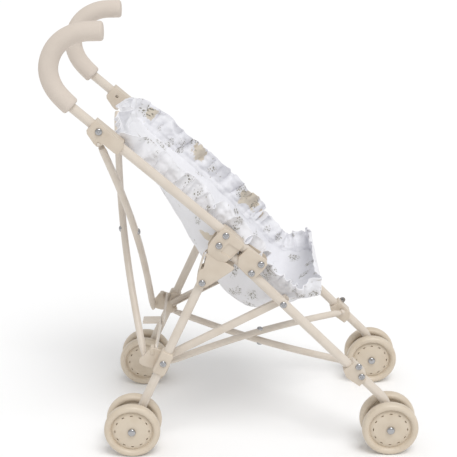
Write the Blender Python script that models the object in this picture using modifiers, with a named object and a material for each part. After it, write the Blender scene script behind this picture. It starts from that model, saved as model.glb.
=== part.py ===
"""Folding doll stroller with twin wheels, two scissor frames and a sling seat.

Metres, +X forward, +Y to the left of someone pushing it, +Z up.  The origin is on the
ground, midway between the back of the grips and the front of the front wheels.
"""
import math

import bmesh
import bpy
from mathutils import Matrix, Vector

MM = 0.001
GAP = 0.3 * MM
REAR_AXLE_X = -137.25 * MM         # the side points below are measured from the rear axle
WHEEL_R = 36 * MM
TRACK = 102 * MM                 # half of the distance between the two leg planes
TWIN_OFFSET = 15 * MM            # centre of each twin wheel from its leg
WHEEL_W = 14 * MM
AXLE_R = 2.5 * MM
TUBE_R = 6.0 * MM                # push handle and front leg tubes
LEG_R = 5.75 * MM                # rear leg tubes
BAR_R = 4.6 * MM                 # the four scissor bars
BALL_R = 3.9 * MM                # balls that the scissor bars turn on
BALL_CLEAR = {"rear": 8.0, "lower": 5.0}    # millimetres from a ball's centre to its bar
GRIP_R = 11.5 * MM
RIGHT, LEFT = -1, 1
SIDES = ((RIGHT, "right"), (LEFT, "left"))

# Side plane, (forward of the rear axle, height) in millimetres.
REAR_AXLE = (0, 36)
FRONT_AXLE = (330, 36)
FOLD_PIVOT = (165.8, 258.7)      # push handle tube on the front leg's plate
LEG_PIVOT = (93.4, 235.1)        # rear leg on the side hinge bracket
STRUT_PIVOT = (193.4, 203.7)     # side strut on the front leg
STRUT_END = (45, 127)            # side strut on the rear leg's bracket
TOP_PIVOT = (-25, 411)           # rear scissor on the top bracket
REAR_CROSS_END = (15.5, 123)
FRONT_PIVOT = (286, 112)         # lower scissor on the front bracket
LOWER_CROSS_END = (46, 115.5)
HANDLE_SCREW = (-24, 426)
HINGE_SCREW = (123.5, 296)
LATCH = (114.8, 284.4)           # upper end of the front leg tube
PLATE_SCREW = (154, 247.4)
# Half widths of the scissor ends, in millimetres.
TOP_W, REAR_CROSS_W = 102, 80
FRONT_W, LOWER_CROSS_W = 83, 83
LINK_PIVOT = (34, 137)
LINK_W = 87.3
STRUT_W = 90.3                   # middle of the side struts' channels

GRIP_LINE = [(-55.3, 453.8), (-65.5, 464.5), (-73.5, 475), (-78.5, 487), (-80, 499), (-77.5, 511),
             (-71.5, 522.5), (-62, 532), (-50, 538.5), (-37, 541.8), (-20.4, 542.3)]
SEAT_EDGE = [(6, 392), (44, 358), (84, 322), (116, 291), (142, 262), (168, 234), (190, 212),
             (212, 204), (240, 207)]
SEAT_MIDDLE = [(-2, 404), (36, 340), (68, 280), (96, 226), (122, 184), (150, 166), (186, 168),
               (218, 184), (246, 203)]
SEAT_HALF_W = 85 * MM


def clear_scene():
    """Remove every object that the new file starts with."""
    for obj in list(bpy.data.objects):
        bpy.data.objects.remove(obj, do_unlink=True)


def new_collection(name):
    """Make a collection and link it to the scene."""
    collection = bpy.data.collections.new(name)
    bpy.context.scene.collection.children.link(collection)
    return collection


def material(name, colour, roughness, metallic=0.0):
    """Make a Principled material."""
    made = bpy.data.materials.new(name)
    made.use_nodes = True
    shader = made.node_tree.nodes["Principled BSDF"]
    shader.inputs["Base Color"].default_value = (*colour, 1.0)
    shader.inputs["Roughness"].default_value = roughness
    shader.inputs["Metallic"].default_value = metallic
    return made


def at(point, y=0.0):
    """Turn a side-plane point in millimetres and a lateral place in metres into a vector."""
    return Vector((REAR_AXLE_X + point[0] * MM, y, point[1] * MM))


def add_mesh(name, mesh, collection, mat):
    """Put a mesh in an object of its own, shaded smooth with its edges kept."""
    mesh.materials.clear()
    mesh.materials.append(mat)
    mesh.shade_smooth()
    mesh.set_sharp_from_angle(angle=math.radians(35))
    obj = bpy.data.objects.new(name, mesh)
    collection.objects.link(obj)
    return obj


def mesh_from(name, bm):
    """Close a bmesh into a mesh datablock."""
    mesh = bpy.data.meshes.new(name)
    bmesh.ops.recalc_face_normals(bm, faces=bm.faces)
    bm.to_mesh(mesh)
    bm.free()
    return mesh


def mesh_of_curve(name, curve):
    """Evaluate a curve as a welded mesh and remove the curve."""
    holder = bpy.data.objects.new(name + "_curve", curve)
    bpy.context.scene.collection.objects.link(holder)
    bpy.context.view_layer.update()
    evaluated = holder.evaluated_get(bpy.context.evaluated_depsgraph_get())
    mesh = bpy.data.meshes.new_from_object(evaluated)
    bpy.data.objects.remove(holder, do_unlink=True)
    bpy.data.curves.remove(curve)
    bm = bmesh.new()
    bm.from_mesh(mesh)
    bmesh.ops.remove_doubles(bm, verts=bm.verts, dist=1e-6)
    bmesh.ops.recalc_face_normals(bm, faces=bm.faces)
    bm.to_mesh(mesh)
    bm.free()
    mesh.name = name
    return mesh


def sweep(name, points, radius, collection, mat, resolution=4):
    """Sweep a round section along a line of points, with both ends closed."""
    curve = bpy.data.curves.new(name, "CURVE")
    curve.dimensions = "3D"
    curve.bevel_depth = radius
    curve.bevel_resolution = resolution
    curve.use_fill_caps = True
    spline = curve.splines.new("POLY")
    spline.points.add(len(points) - 1)
    for point, place in zip(spline.points, points):
        point.co = (*place, 1.0)
    return add_mesh(name, mesh_of_curve(name, curve), collection, mat)


def plate(name, outline, y0, y1, collection, mat):
    """Extrude a side-plane outline between two lateral places."""
    curve = bpy.data.curves.new(name, "CURVE")
    curve.dimensions = "2D"
    curve.fill_mode = "BOTH"
    curve.extrude = abs(y1 - y0) / 2
    spline = curve.splines.new("POLY")
    spline.points.add(len(outline) - 1)
    for point, place in zip(spline.points, outline):
        flat = at(place)
        point.co = (flat.x, flat.z, 0.0, 1.0)
    spline.use_cyclic_u = True
    mesh = mesh_of_curve(name, curve)
    mesh.transform(Matrix.Rotation(math.pi / 2, 4, "X"))
    mesh.transform(Matrix.Translation((0, (y0 + y1) / 2, 0)))
    return add_mesh(name, mesh, collection, mat)


def rod(name, start, end, radius, collection, mat, segments=16, end_radius=None):
    """Make a cylinder or cone between two points."""
    axis = end - start
    bm = bmesh.new()
    bmesh.ops.create_cone(bm, cap_ends=True, segments=segments, radius1=radius,
                          radius2=radius if end_radius is None else end_radius,
                          depth=axis.length)
    turn = axis.to_track_quat("Z", "Y").to_matrix().to_4x4()
    bmesh.ops.transform(bm, matrix=Matrix.Translation((start + end) / 2) @ turn, verts=bm.verts)
    return add_mesh(name, mesh_from(name, bm), collection, mat)


def block(name, centre, size, collection, mat, turn=None):
    """Make a box, turned by a matrix when one is given."""
    bm = bmesh.new()
    bmesh.ops.create_cube(bm, size=1.0)
    place = Matrix.Translation(centre) @ (turn or Matrix.Identity(4)) @ Matrix.Diagonal((*size, 1))
    bmesh.ops.transform(bm, matrix=place, verts=bm.verts)
    return add_mesh(name, mesh_from(name, bm), collection, mat)


class Shop:
    """The collections and materials that every sub-part uses."""

    def __init__(self):
        self.parts = new_collection("doll_stroller")
        self.tools = new_collection("cutters")
        self.steel = material("frame_steel", (0.71, 0.64, 0.56), 0.38)
        self.plastic = material("bracket_plastic", (0.69, 0.62, 0.53), 0.45)
        self.wheel = material("wheel_plastic", (0.67, 0.58, 0.48), 0.5)
        self.foam = material("grip_foam", (0.67, 0.60, 0.53), 0.85)
        self.chrome = material("screw_chrome", (0.78, 0.78, 0.78), 0.22, 1.0)
        self.cloth = material("seat_cloth", (0.86, 0.85, 0.86), 0.9)

    def combine(self, target, tool, operation):
        """Apply one exact Boolean to target with a tool that stays hidden."""
        for collection in list(tool.users_collection):
            collection.objects.unlink(tool)
        self.tools.objects.link(tool)
        tool.hide_render = True
        tool.display_type = "WIRE"
        step = target.modifiers.new(operation.lower(), "BOOLEAN")
        step.operation = operation
        step.object = tool
        return target

    def join(self, target, tool):
        """Fuse a tool into target."""
        return self.combine(target, tool, "UNION")

    def cut(self, target, tool):
        """Cut a tool out of target."""
        return self.combine(target, tool, "DIFFERENCE")

    def tool_rod(self, start, end, radius, segments=16):
        """Make a round tool."""
        return rod("tool", start, end, radius, self.tools, self.steel, segments)


def toward(start, end, distance):
    """Point at a distance in millimetres from start toward end, in the side plane."""
    dx, dz = end[0] - start[0], end[1] - start[1]
    length = math.hypot(dx, dz)
    return (start[0] + dx / length * distance, start[1] + dz / length * distance)


def offset(point, direction, along, across):
    """Move a side-plane point along a unit direction and across it to its left."""
    return (point[0] + direction[0] * along - direction[1] * across,
            point[1] + direction[1] * along + direction[0] * across)


def unit(start, end):
    """Unit direction from start to end in the side plane."""
    dx, dz = end[0] - start[0], end[1] - start[1]
    length = math.hypot(dx, dz)
    return (dx / length, dz / length)


def screw(shop, name, point, side, head_w, length_mm, head_r=4.2, shank_r=1.8):
    """A domed screw whose head sits on a face at half width head_w, pointing inward."""
    y = side * head_w * MM
    head = rod(name, at(point, y + side * GAP), at(point, y + side * 2.4 * MM), head_r * MM,
               shop.parts, shop.chrome, 16, head_r * 0.55 * MM)
    shank = shop.tool_rod(at(point, y + side * 1.0 * MM), at(point, y - side * length_mm * MM),
                          shank_r * MM, 12)
    return shop.join(head, shank)


def screw_hole(shop, target, point, y0, y1, radius_mm=2.2):
    """Clearance hole through target along Y."""
    return shop.cut(target, shop.tool_rod(at(point, y0), at(point, y1), radius_mm * MM, 12))


def push_handle(shop, side, tag):
    """Handle tube bent into a hook, with its foam grip."""
    y = side * TRACK
    run = [at(p, y) for p in [FOLD_PIVOT, (120, 299.2), (0, 405.1)] + GRIP_LINE]
    run[0] = at(toward(FOLD_PIVOT, (120, 299.2), -5), y)
    tube = sweep(f"push_handle_tube_{tag}", run, TUBE_R, shop.parts, shop.steel)
    for point in (FOLD_PIVOT, HINGE_SCREW, HANDLE_SCREW):
        screw_hole(shop, tube, point, y - 9 * MM, y + 9 * MM)
    tip = Vector((6.5 * MM, 0, 0))
    line = [at(p, y) for p in GRIP_LINE]
    lower = line[0] + (line[0] - line[1]).normalized() * 0.5 * MM
    grip = sweep(f"handle_grip_{tag}", [lower] + line[1:] + [line[-1] + tip], GRIP_R,
                 shop.parts, shop.foam)
    bore_start = line[0] + (line[0] - line[1]).normalized() * 6 * MM
    bore = sweep("grip_bore", [bore_start] + line[1:] + [line[-1] + tip * 0.2],
                 TUBE_R + GAP * 1.4, shop.tools, shop.foam)
    shop.cut(grip, bore)
    return tube, grip


def top_bracket(shop, side, tag):
    """Clamp on the handle tube with two cheeks that hold the rear scissor's swivel."""
    y = side * TRACK
    along = unit(HANDLE_SCREW, HINGE_SCREW)
    outline = [offset(HANDLE_SCREW, along, a, c) for a, c in
               ((-11, 8.5), (30, 8.5), (34, 4), (34, -7.5), (30, -8.4), (13.5, -8.4), (12.6, -11),
                (11.5, -14.2), (9, -15.6), (4, -15), (-9, -11), (-12, -8))]
    body = plate(f"top_bracket_{tag}", outline, y - 8.6 * MM, y + 8.6 * MM, shop.parts, shop.plastic)
    start, end = at(offset(HANDLE_SCREW, along, -40, 0), y), at(offset(HANDLE_SCREW, along, 60, 0), y)
    shop.cut(body, shop.tool_rod(start, end, TUBE_R + GAP, 12))
    pocket = [offset(HANDLE_SCREW, along, a, c) for a, c in
              ((-30, -7.6), (23, -7.6), (23, -60), (-30, -60))]
    shop.cut(body, plate("pocket", pocket, y - 5.4 * MM, y + 5.4 * MM, shop.tools, shop.plastic))
    screw_hole(shop, body, HANDLE_SCREW, y - 12 * MM, y + 12 * MM)
    screw_hole(shop, body, TOP_PIVOT, y - 12 * MM, y + 12 * MM, 2.4)
    screw(shop, f"top_bracket_screw_{tag}", HANDLE_SCREW, side, 110.6, 17)
    return body


def side_hinge(shop, side, tag):
    """Bracket on the handle tube that latches over the front leg and carries the rear leg."""
    y = side * TRACK
    along = unit(HINGE_SCREW, FOLD_PIVOT)
    outline = [offset(HINGE_SCREW, along, -13, 5), offset(HINGE_SCREW, along, 10, 7),
               offset(HINGE_SCREW, along, 21, -8), (128, 268), (134, 256), (112, 236), (94, 226),
               (85, 233), (89, 254), (95, 272), (103, 283)]
    body = plate(f"side_hinge_bracket_{tag}", outline, y - 9.6 * MM, y + 9.6 * MM,
                 shop.parts, shop.plastic)
    start = at(offset(HINGE_SCREW, along, -60, 0), y)
    shop.cut(body, shop.tool_rod(start, at(offset(HINGE_SCREW, along, 60, 0), y), TUBE_R + GAP, 12))
    room = [(100.5, 298), (108.1, 301.6), (161.8, 246.5), (161.8, 190), (70, 190), (70, 250),
            (90, 250), (92.5, 256), (97.5, 272), (100.5, 281)]
    shop.cut(body, plate("latch_room", room, y - 6.9 * MM, y + 6.9 * MM, shop.tools, shop.plastic))
    screw_hole(shop, body, HINGE_SCREW, y - 12 * MM, y + 12 * MM)
    screw_hole(shop, body, LEG_PIVOT, y - 12 * MM, y + 12 * MM)
    screw(shop, f"side_hinge_screw_{tag}", HINGE_SCREW, side, 111.6, 18)
    screw(shop, f"leg_pivot_screw_{tag}", LEG_PIVOT, side, 111.6, 18)
    return body


def front_leg(shop, side, tag):
    """Front leg tube with the fold plate and the lower scissor's bracket."""
    y = side * TRACK
    down = unit(LATCH, (324.5, 69))
    run = [at(offset(LATCH, down, -8, 0), y), at((316, 77.7), y), at((323, 69), y),
           at((327.5, 58), y), at((329.5, 47), y), at((330, 29.5), y)]
    tube = sweep(f"front_leg_tube_{tag}", run, TUBE_R, shop.parts, shop.steel)
    for point in (PLATE_SCREW, STRUT_PIVOT):
        screw_hole(shop, tube, point, y - 9 * MM, y + 9 * MM)
    shop.cut(tube, shop.tool_rod(at(FRONT_AXLE, y - 9 * MM), at(FRONT_AXLE, y + 9 * MM),
                                 AXLE_R + GAP, 16))
    across = unit(PLATE_SCREW, FOLD_PIVOT)
    outline = [offset(PLATE_SCREW, across, a, c) for a, c in
               ((-9, 15), (-9, -7), (-3, -12), (17, -10), (25, 0), (18, 19), (8, 23))]
    fold_plate = plate(f"fold_plate_{tag}", outline, y - 9.6 * MM, y + 9.6 * MM,
                       shop.parts, shop.plastic)
    room = [offset(PLATE_SCREW, across, a, c) for a, c in
            ((8.0, -60), (8.0, 60), (60, 60), (60, -60))]
    shop.cut(fold_plate, plate("fold_room", room, y - 6.9 * MM, y + 6.9 * MM, shop.tools, shop.plastic))
    shop.cut(fold_plate, shop.tool_rod(at(offset(LATCH, down, -30, 0), y),
                                       at(offset(LATCH, down, 90, 0), y), TUBE_R + GAP, 12))
    for point in (PLATE_SCREW, FOLD_PIVOT):
        screw_hole(shop, fold_plate, point, y - 12 * MM, y + 12 * MM)
    screw(shop, f"fold_pivot_screw_{tag}", FOLD_PIVOT, side, 111.6, 18)
    screw(shop, f"plate_screw_{tag}", PLATE_SCREW, side, 111.6, 18)
    screw(shop, f"strut_screw_{tag}", STRUT_PIVOT, side, 108, 19)
    return tube


def front_bracket(shop, side, tag):
    """Clamp on the front leg that holds the lower scissor's swivel on its inner side."""
    y = side * TRACK
    down = unit(LATCH, (324.5, 69))
    seat = toward(LATCH, (324.5, 69), 245)
    outline = [offset(seat, down, a, c) for a, c in
               ((-13, 8.4), (9, 8.4), (15, 2), (15, -8.6), (-6, -12), (-15, -8))]
    body = plate(f"front_bracket_{tag}", outline, y - side * 12 * MM, y + side * 8.2 * MM,
                 shop.parts, shop.plastic)
    shop.cut(body, shop.tool_rod(at(offset(LATCH, down, 180, 0), y),
                                 at(offset(LATCH, down, 300, 0), y), TUBE_R + GAP, 12))
    screw_hole(shop, body, FRONT_PIVOT, side * 87 * MM, side * 95 * MM, 2.4)
    return body


def rear_leg(shop, side, tag):
    """Rear leg tube with the bracket that meets strut, scissors and crossbar."""
    y = side * TRACK
    up = unit(REAR_AXLE, LEG_PIVOT)
    run = [at(offset(REAR_AXLE, up, -6.5, 0), y), at(offset(LEG_PIVOT, up, 6.5, 0), y)]
    tube = sweep(f"rear_leg_tube_{tag}", run, LEG_R, shop.parts, shop.steel)
    screw_hole(shop, tube, LEG_PIVOT, y - 9 * MM, y + 9 * MM)
    shop.cut(tube, shop.tool_rod(at(REAR_AXLE, y - 9 * MM), at(REAR_AXLE, y + 9 * MM),
                                 AXLE_R + GAP, 16))
    seat = toward(REAR_AXLE, LEG_PIVOT, 99)
    outline = [offset(seat, up, a, c) for a, c in
               ((-14, -8), (12, -8), (15, 0), (14, 9), (0, 25), (-10, 29), (-20, 27), (-20, 17),
                (-15, 8))]
    body = plate(f"rear_bracket_{tag}", outline, y - 8.2 * MM, y + 8.2 * MM, shop.parts, shop.plastic)
    shop.cut(body, shop.tool_rod(at(offset(seat, up, -40, 0), y), at(offset(seat, up, 40, 0), y),
                                 LEG_R + GAP, 12))
    arm = block("arm", at((LINK_PIVOT[0] - 6.2, LINK_PIVOT[1]), side * (LINK_W + 4.5) * MM),
                (5 * MM, 13 * MM, 9 * MM), shop.tools, shop.plastic)
    shop.join(body, arm)
    for point in (REAR_CROSS_END, LOWER_CROSS_END):
        shop.join(body, shop.tool_rod(at(point, side * 95 * MM), at(point, side * 88.2 * MM),
                                      3 * MM, 12))
    screw_hole(shop, body, seat, y + side * 6.6 * MM, y + side * 12 * MM)
    screw(shop, f"rear_bracket_screw_{tag}", seat, side, 110.2, 1.2)
    return tube


def side_strut(shop, side, tag):
    """Pressed channel from the front leg down to the rear leg's bracket."""
    along = unit(STRUT_END, STRUT_PIVOT)
    outline = [offset(STRUT_END, along, a, c) for a, c in
               ((-6, -2.5), (-3, -4.6), (172, -4.6), (175, -2), (175, 2), (172, 4.6), (-3, 4.6),
                (-6, 2.5))]
    strut = plate(f"side_strut_{tag}", outline, side * 87.2 * MM, side * 93.4 * MM,
                  shop.parts, shop.steel)
    groove = [offset(STRUT_END, along, a, c) for a, c in
              ((-9, -3.2), (178, -3.2), (178, 3.2), (-9, 3.2))]
    shop.cut(strut, plate("groove", groove, side * 80 * MM, side * 92 * MM, shop.tools, shop.steel))
    screw_hole(shop, strut, STRUT_PIVOT, side * 84 * MM, side * 97 * MM)
    return strut


def bar_normal(start, end):
    """Normal of a scissor's plane, which its two bars turn about."""
    along = unit(start, end)
    return Vector((-along[1], 0, along[0]))


def scissor_bar(shop, name, ends, widths, side, bow, clear, spacer):
    """One bowed bar of a scissor from the side given to the other side.

    The bar starts clear of its swivel's ball, runs across the middle plane and ends beside
    the bracket on the other side.  bow is how far its middle stands off along the normal,
    and spacer how far its boss reaches from its middle toward the other bar.
    """
    normal = bar_normal(*ends)
    first, last = at(ends[0], side * widths[0] * MM), at(ends[1], -side * widths[1] * MM)
    begin = clear * MM / (last - first).length
    run = []
    for step in range(13):
        t = begin + (1 - begin) * step / 12
        run.append(first.lerp(last, t) + normal * bow * MM * math.sin(math.pi * t))
    bar = sweep(name, run, BAR_R, shop.parts, shop.steel, 3)
    middle = first.lerp(last, 0.5) + normal * bow * MM
    if spacer:
        inward = normal * -math.copysign(spacer, bow) * MM
        shop.join(bar, shop.tool_rod(middle, middle + inward, 3.4 * MM, 12))
    cap = normal * math.copysign(BAR_R / MM + 1.6, bow) * MM
    shop.join(bar, shop.tool_rod(middle, middle + cap, 3.6 * MM, 12))
    return bar


def swivel(shop, name, point, w, side, inward, outward):
    """Ball on a lateral pin, which one scissor bar turns on."""
    y = side * w * MM
    bm = bmesh.new()
    bmesh.ops.create_uvsphere(bm, u_segments=16, v_segments=10, radius=BALL_R)
    bmesh.ops.transform(bm, matrix=Matrix.Translation(at(point, y)), verts=bm.verts)
    ball = add_mesh(name, mesh_from(name, bm), shop.parts, shop.steel)
    pin = shop.tool_rod(at(point, y - side * inward * MM), at(point, y + side * outward * MM),
                        2.1 * MM, 12)
    return shop.join(ball, pin)


def wheel_mesh(shop, name):
    """Turned wheel with a fat tyre ring, a step and a flat disc, its axis along Y."""
    half = WHEEL_W / 2
    rim = WHEEL_R / math.cos(math.pi / 24)
    outer = [(AXLE_R + GAP, half - 1.6 * MM), (22.5 * MM, half - 2.2 * MM),
             (24.5 * MM, half - 3.8 * MM), (27 * MM, half - 0.4 * MM), (31 * MM, half),
             (rim - 1.3 * MM, half - 1.6 * MM), (rim, half - 4 * MM)]
    profile = outer + [(r, -t) for r, t in reversed(outer)]
    bm = bmesh.new()
    verts = [bm.verts.new((r, 0, t)) for r, t in profile]
    for one, two in zip(verts, verts[1:] + verts[:1]):
        bm.edges.new((one, two))
    bmesh.ops.spin(bm, geom=bm.verts[:] + bm.edges[:], cent=(0, 0, 0), axis=(0, 0, 1),
                   angle=math.tau, steps=24, use_merge=True)
    bmesh.ops.remove_doubles(bm, verts=bm.verts, dist=1e-6)
    turn = Matrix.Rotation(math.pi / 2, 4, "X") @ Matrix.Rotation(math.pi / 24, 4, "Z")
    bmesh.ops.transform(bm, matrix=turn, verts=bm.verts)
    return mesh_from(name, bm)


def twin_wheels(shop, side, tag, end, axle_point, mesh):
    """Two wheels on one axle, one on each side of the leg."""
    for place, sign in (("outer", 1), ("inner", -1)):
        obj = add_mesh(f"{end}_wheel_{place}_{tag}", mesh, shop.parts, shop.wheel)
        obj.location = at(axle_point, side * (TRACK + sign * TWIN_OFFSET))
    reach = TWIN_OFFSET + WHEEL_W / 2 + 0.2 * MM
    y = side * TRACK
    axle = rod(f"{end}_axle_{tag}", at(axle_point, y - reach), at(axle_point, y + reach), AXLE_R,
               shop.parts, shop.chrome, 16)
    for sign in (-1, 1):
        cap = shop.tool_rod(at(axle_point, y + sign * (reach - 1.2 * MM)),
                            at(axle_point, y + sign * (reach + 2.2 * MM)), 5 * MM, 16)
        shop.join(axle, cap)


def crossbar(shop):
    """Two strips that meet in the middle, with the foot tab on the right one."""
    for side, tag, x0, length in ((RIGHT, "right", 31.2, 88), (LEFT, "left", 34.4, 88)):
        y0, y1 = side * LINK_W * MM, side * (LINK_W - length) * MM
        strip = block(f"crossbar_link_{tag}", at((x0 + 1.0, LINK_PIVOT[1]), (y0 + y1) / 2),
                      (2.2 * MM, abs(y1 - y0), 10 * MM), shop.parts, shop.steel)
        for place in (y0, y1):
            eye_back = at((x0 - 0.3, LINK_PIVOT[1]), place)
            shop.join(strip, shop.tool_rod(eye_back, eye_back + Vector((2.6 * MM, 0, 0)), 5.4 * MM))
        if side == RIGHT:
            foot = block("foot", at((21, LINK_PIVOT[1] + 3), -4 * MM),
                         (24 * MM, 18 * MM, 3 * MM), shop.tools, shop.steel)
            shop.join(strip, foot)


def seat_point(u, v, lift=0.0):
    """Point of the sling at u along the seat and v across it, lifted by some metres."""
    rows = len(SEAT_EDGE) - 1
    index = min(int(u * rows), rows - 1)
    t = u * rows - index
    blend = 1 - abs(v) ** 2.6
    place = [0.0, 0.0]
    for axis in (0, 1):
        edge = SEAT_EDGE[index][axis] * (1 - t) + SEAT_EDGE[index + 1][axis] * t
        middle = SEAT_MIDDLE[index][axis] * (1 - t) + SEAT_MIDDLE[index + 1][axis] * t
        place[axis] = edge * (1 - blend) + middle * blend
    return at(place, v * SEAT_HALF_W) + Vector((0.45 * lift, 0, 0.89 * lift))


def cloth_panel(shop, name, u0, u1, rows, columns):
    """Part of the sling as a closed panel of even thickness."""
    bm = bmesh.new()
    bmesh.ops.create_grid(bm, x_segments=columns, y_segments=rows, size=1.0)
    for vert in bm.verts:
        vert.co = seat_point(u0 + (u1 - u0) * (vert.co.y + 1) / 2, vert.co.x)
    obj = add_mesh(name, mesh_from(name, bm), shop.parts, shop.cloth)
    thick = obj.modifiers.new("thickness", "SOLIDIFY")
    thick.thickness = 2.5 * MM
    thick.offset = 0.0
    return obj


def ruffle(shop, name, path, height):
    """Plain band that stands on the sling's edge along a path of (u, v) places."""
    bm = bmesh.new()
    bmesh.ops.create_grid(bm, x_segments=len(path) - 1, y_segments=1, size=1.0)
    for vert in bm.verts:
        u, v = path[round((vert.co.x + 1) / 2 * (len(path) - 1))]
        vert.co = seat_point(u, v, 6 * MM + (height if vert.co.y > 0 else 0.0))
    obj = add_mesh(name, mesh_from(name, bm), shop.parts, shop.cloth)
    thick = obj.modifiers.new("thickness", "SOLIDIFY")
    thick.thickness = 2.5 * MM
    thick.offset = 0.0
    return obj


def seat(shop):
    """Sling seat in two panels, with the bands where its ruffles stand."""
    fold = 0.56
    cloth_panel(shop, "seat_back_panel", 0.0, fold - 0.004, 6, 10)
    cloth_panel(shop, "seat_pouch", fold + 0.004, 1.0, 6, 10)
    side_steps = [fold - 0.03 - (fold - 0.03) * i / 7 for i in range(8)]
    back = [(u, -0.97) for u in side_steps] + [(0.0, -0.6 + 0.3 * i) for i in range(5)]
    back += [(u, 0.97) for u in reversed(side_steps)]
    ruffle(shop, "back_ruffle", back, 20 * MM)
    side_steps = [fold + 0.03 + (0.97 - fold) * i / 5 for i in range(6)]
    front = [(u, -0.97) for u in side_steps] + [(1.0, -0.6 + 0.3 * i) for i in range(5)]
    front += [(u, 0.97) for u in reversed(side_steps)]
    ruffle(shop, "front_ruffle", front, 20 * MM)


def hang(shop, name, place, pieces):
    """Parent pieces to an empty that stands on the axis they turn about."""
    pivot = bpy.data.objects.new(name, None)
    pivot.location = place
    pivot.empty_display_size = 10 * MM
    shop.parts.objects.link(pivot)
    for piece in pieces:
        obj = shop.parts.objects[piece]
        obj.parent = pivot
        obj.matrix_parent_inverse = Matrix.Translation(-place)


def hang_moving_pieces(shop):
    """Give every folding group its pivot."""
    turning = (
        ("push_handle", FOLD_PIVOT, TRACK,
         ("push_handle_tube", "handle_grip", "top_bracket", "top_bracket_screw",
          "side_hinge_bracket", "side_hinge_screw", "leg_pivot_screw")),
        ("rear_leg", LEG_PIVOT, TRACK,
         ("rear_leg_tube", "rear_bracket", "rear_bracket_screw", "rear_axle")),
        ("strut", STRUT_PIVOT, STRUT_W * MM, ("side_strut",)),
        ("rear_scissor", TOP_PIVOT, TOP_W * MM, ("top_swivel", "rear_cross_bar")),
        ("lower_scissor", FRONT_PIVOT, FRONT_W * MM, ("front_swivel", "lower_cross_bar")),
        ("crossbar", LINK_PIVOT, LINK_W * MM, ("crossbar_link",)),
    )
    for side, tag in SIDES:
        for name, pivot, half_width, pieces in turning:
            hang(shop, f"{name}_pivot_{tag}", at(pivot, side * half_width),
                 [f"{piece}_{tag}" for piece in pieces])
    hang(shop, "seat_back_pivot", at(FOLD_PIVOT), ["seat_back_panel", "back_ruffle"])


def main():
    """Build every sub-part."""
    clear_scene()
    shop = Shop()
    mesh = wheel_mesh(shop, "wheel")
    for side, tag in SIDES:
        push_handle(shop, side, tag)
        top_bracket(shop, side, tag)
        side_hinge(shop, side, tag)
        front_leg(shop, side, tag)
        front_bracket(shop, side, tag)
        rear_leg(shop, side, tag)
        side_strut(shop, side, tag)
        swivel(shop, f"top_swivel_{tag}", TOP_PIVOT, TOP_W, side, 9.5, 9.5)
        swivel(shop, f"front_swivel_{tag}", FRONT_PIVOT, FRONT_W, side, 0, 11.5)
        twin_wheels(shop, side, tag, "front", FRONT_AXLE, mesh)
        twin_wheels(shop, side, tag, "rear", REAR_AXLE, mesh)
    for side, tag in SIDES:
        spacer = side == RIGHT
        scissor_bar(shop, f"rear_cross_bar_{tag}", (TOP_PIVOT, REAR_CROSS_END),
                    (TOP_W, REAR_CROSS_W), side, -9 * side, BALL_CLEAR["rear"], 12.6 * spacer)
        scissor_bar(shop, f"lower_cross_bar_{tag}", (FRONT_PIVOT, LOWER_CROSS_END),
                    (FRONT_W, LOWER_CROSS_W), side, -6.5 * side, BALL_CLEAR["lower"], 7.6 * spacer)
    crossbar(shop)
    seat(shop)
    hang_moving_pieces(shop)


main()
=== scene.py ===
"""Looks of the folding doll stroller: painted tubes, moulded wheels and brackets, foam grips and a
printed cotton sling with gathered frills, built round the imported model."""
import logging
import math
import random
from dataclasses import dataclass
from enum import Enum
from functools import cache
from typing import Callable, Iterable, Optional, Sequence, Union

import bpy
from mathutils import Matrix, Vector, noise


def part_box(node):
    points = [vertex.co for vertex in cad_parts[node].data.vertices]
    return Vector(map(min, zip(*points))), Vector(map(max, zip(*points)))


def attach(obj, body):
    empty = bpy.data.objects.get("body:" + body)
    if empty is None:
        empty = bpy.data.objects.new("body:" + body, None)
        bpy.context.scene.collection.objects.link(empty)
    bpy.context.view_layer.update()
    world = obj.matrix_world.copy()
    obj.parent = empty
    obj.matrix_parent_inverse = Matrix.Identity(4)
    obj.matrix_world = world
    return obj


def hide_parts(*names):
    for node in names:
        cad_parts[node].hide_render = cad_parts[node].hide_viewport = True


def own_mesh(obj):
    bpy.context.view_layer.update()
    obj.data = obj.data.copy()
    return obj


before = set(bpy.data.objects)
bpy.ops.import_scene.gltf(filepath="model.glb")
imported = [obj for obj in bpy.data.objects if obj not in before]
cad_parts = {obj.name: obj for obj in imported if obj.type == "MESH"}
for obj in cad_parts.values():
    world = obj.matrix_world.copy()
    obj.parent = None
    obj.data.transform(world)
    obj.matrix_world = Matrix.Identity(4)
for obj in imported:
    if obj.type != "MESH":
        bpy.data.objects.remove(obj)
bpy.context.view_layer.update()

LOG = logging.getLogger("doll_stroller")
MM = 0.001
Point = tuple[float, float]
Number = Union[int, float]


class Side(Enum):
    """The two sides of the stroller, valued by the sign of their Y."""

    RIGHT = -1
    LEFT = 1

    @property
    def tag(self) -> str:
        """Word that ends the names of this side's pieces."""
        return self.name.lower()


class Coords(Enum):
    """Where a pattern's coordinates come from."""

    OBJECT = "Object"
    UV = "UV"


# --------------------------------------------------------------------------- places


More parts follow.
